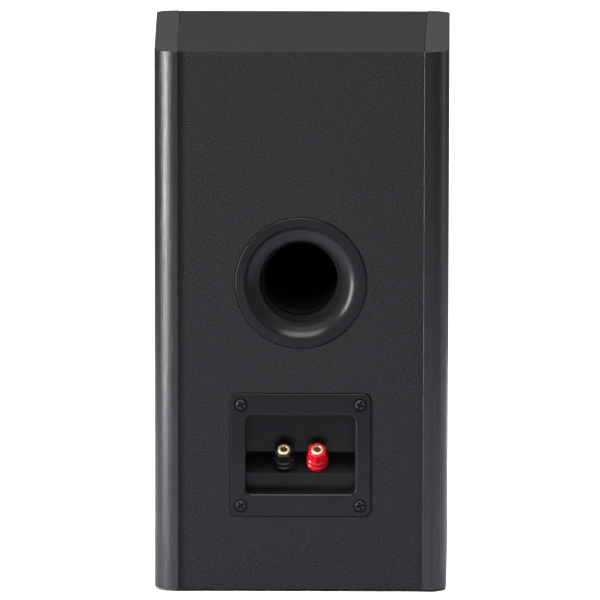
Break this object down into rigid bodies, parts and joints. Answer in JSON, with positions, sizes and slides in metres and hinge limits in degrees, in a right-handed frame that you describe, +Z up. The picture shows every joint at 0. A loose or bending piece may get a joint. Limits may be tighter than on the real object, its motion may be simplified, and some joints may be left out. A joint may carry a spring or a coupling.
{
  "type": "bookshelf speaker",
  "caption": "Two-way bookshelf speaker cabinet with rounded wrapped side panels, flared rear port, recessed binding posts and a removable cloth grille",
  "frame": {"origin": "on the ground under the middle of the object's box", "axes": "+Z up, -Y is the listening side with the grille, +Y is the back with the port and terminals, +X is the listener's right when facing the grille"},
  "size_m": [0.173, 0.214, 0.31],
  "materials": {
    "grain_vinyl": "black wood-grain vinyl wrap on board, satin",
    "smooth_vinyl": "smooth dark vinyl wrap on board, satin",
    "textured_vinyl": "finely textured dark vinyl on board, matt",
    "raw_board": "bare fibreboard",
    "moulded_black": "moulded, fine satin",
    "black_rubber": "matt",
    "seal_foam": "closed-cell foam",
    "port_card": "spiral-wound card tube, black",
    "gold_plate": "gold plated, polished",
    "cap_black": "moulded, glossy",
    "cap_red": "moulded, glossy red",
    "black_screw": "black zinc",
    "zinc_steel": "zinc plated",
    "black_steel": "black powder coat",
    "ferrite": "sintered ferrite, matt",
    "paper_cone": "pressed paper, black",
    "spider_cloth": "resin-dipped cloth",
    "dome_silk": "coated silk",
    "copper_wire": "enamelled copper winding",
    "grille_cloth": "knitted black cloth",
    "grille_board": "black painted fibreboard",
    "circuit_board": "green board",
    "film_yellow": "wrapped film capacitor",
    "white_cement": "cement",
    "white_wadding": "polyester fibre",
    "lead_sheath": "insulated wire"
  },
  "bodies": {
    "cabinet": {"side_panel_right": "grain_vinyl", "side_panel_left": "grain_vinyl", "top_panel": "smooth_vinyl", "bottom_panel": "smooth_vinyl", "back_panel": "textured_vinyl", "front_baffle": "smooth_vinyl", "window_brace": "raw_board", "rubber_feet": "black_rubber", "port_flare": "moulded_black", "port_tube": "port_card", "terminal_cup": "moulded_black", "terminal_gasket": "seal_foam", "terminal_screws": "black_screw", "post_core_black": "gold_plate", "post_core_red": "gold_plate", "post_collar_black": "cap_black", "post_collar_red": "cap_red", "post_nuts": "zinc_steel", "solder_tags": "zinc_steel", "woofer_basket": "black_steel", "woofer_top_plate": "zinc_steel", "woofer_magnet": "ferrite", "woofer_back_plate": "zinc_steel", "woofer_terminals": "circuit_board", "woofer_screws": "black_screw", "tweeter_faceplate": "moulded_black", "tweeter_top_plate": "zinc_steel", "tweeter_magnet": "ferrite", "tweeter_back_plate": "zinc_steel", "tweeter_terminals": "circuit_board", "tweeter_screws": "black_screw", "grille_peg_cups": "moulded_black", "crossover_board": "circuit_board", "crossover_standoffs": "moulded_black", "crossover_screws": "zinc_steel", "woofer_inductor": "copper_wire", "tweeter_inductor": "copper_wire", "film_capacitors": "film_yellow", "cement_resistor": "white_cement", "wadding_right": "white_wadding", "wadding_left": "white_wadding", "input_leads": "lead_sheath", "woofer_leads": "lead_sheath", "tweeter_leads": "lead_sheath"},
    "grille": {"grille_frame": "grille_board", "grille_cloth": "grille_cloth", "grille_pegs": "moulded_black"},
    "woofer_moving": {"woofer_cone": "paper_cone", "woofer_dust_cap": "paper_cone", "woofer_voice_coil": "copper_wire", "woofer_surround": "black_rubber", "woofer_spider": "spider_cloth"},
    "tweeter_moving": {"tweeter_dome": "dome_silk", "tweeter_voice_coil": "copper_wire"},
    "black_washer": {"clamp_washer_black": "gold_plate"},
    "black_cap": {"post_cap_black": "cap_black"},
    "red_washer": {"clamp_washer_red": "gold_plate"},
    "red_cap": {"post_cap_red": "cap_red"}
  },
  "joints": [
    {"name": "grille_pull", "type": "slide", "parent": "cabinet", "child": "grille", "axis": [0, -1, 0], "range_m": [0, 0.09]},
    {"name": "woofer_excursion", "type": "slide", "parent": "cabinet", "child": "woofer_moving", "axis": [0, -1, 0], "range_m": [-0.004, 0.004], "stiffness_N_per_m": 1000, "deforming": ["woofer_surround", "woofer_spider"]},
    {"name": "tweeter_excursion", "type": "slide", "parent": "cabinet", "child": "tweeter_moving", "axis": [0, -1, 0], "range_m": [-0.0003, 0.0003], "stiffness_N_per_m": 1500, "deforming": ["tweeter_dome"]},
    {"name": "black_cap_rise", "type": "slide", "parent": "cabinet", "child": "black_washer", "axis": [0, 0.7071, 0.7071], "range_m": [0, 0.004]},
    {"name": "black_cap_turn", "type": "hinge", "parent": "black_washer", "child": "black_cap", "pos_m": [0.00953, 0.09231, 0.07741], "axis": [0, 0.7071, 0.7071], "range_deg": [0, 1441]},
    {"name": "red_cap_rise", "type": "slide", "parent": "cabinet", "child": "red_washer", "axis": [0, 0.7071, 0.7071], "range_m": [0, 0.004]},
    {"name": "red_cap_turn", "type": "hinge", "parent": "red_washer", "child": "red_cap", "pos_m": [-0.00953, 0.09231, 0.07741], "axis": [0, 0.7071, 0.7071], "range_deg": [0, 1441]}
  ],
  "couplings": [
    {"joint": "black_cap_turn", "follows": "black_cap_rise", "rad_per_m": 6283.2},
    {"joint": "red_cap_turn", "follows": "red_cap_rise", "rad_per_m": 6283.2}
  ]
}
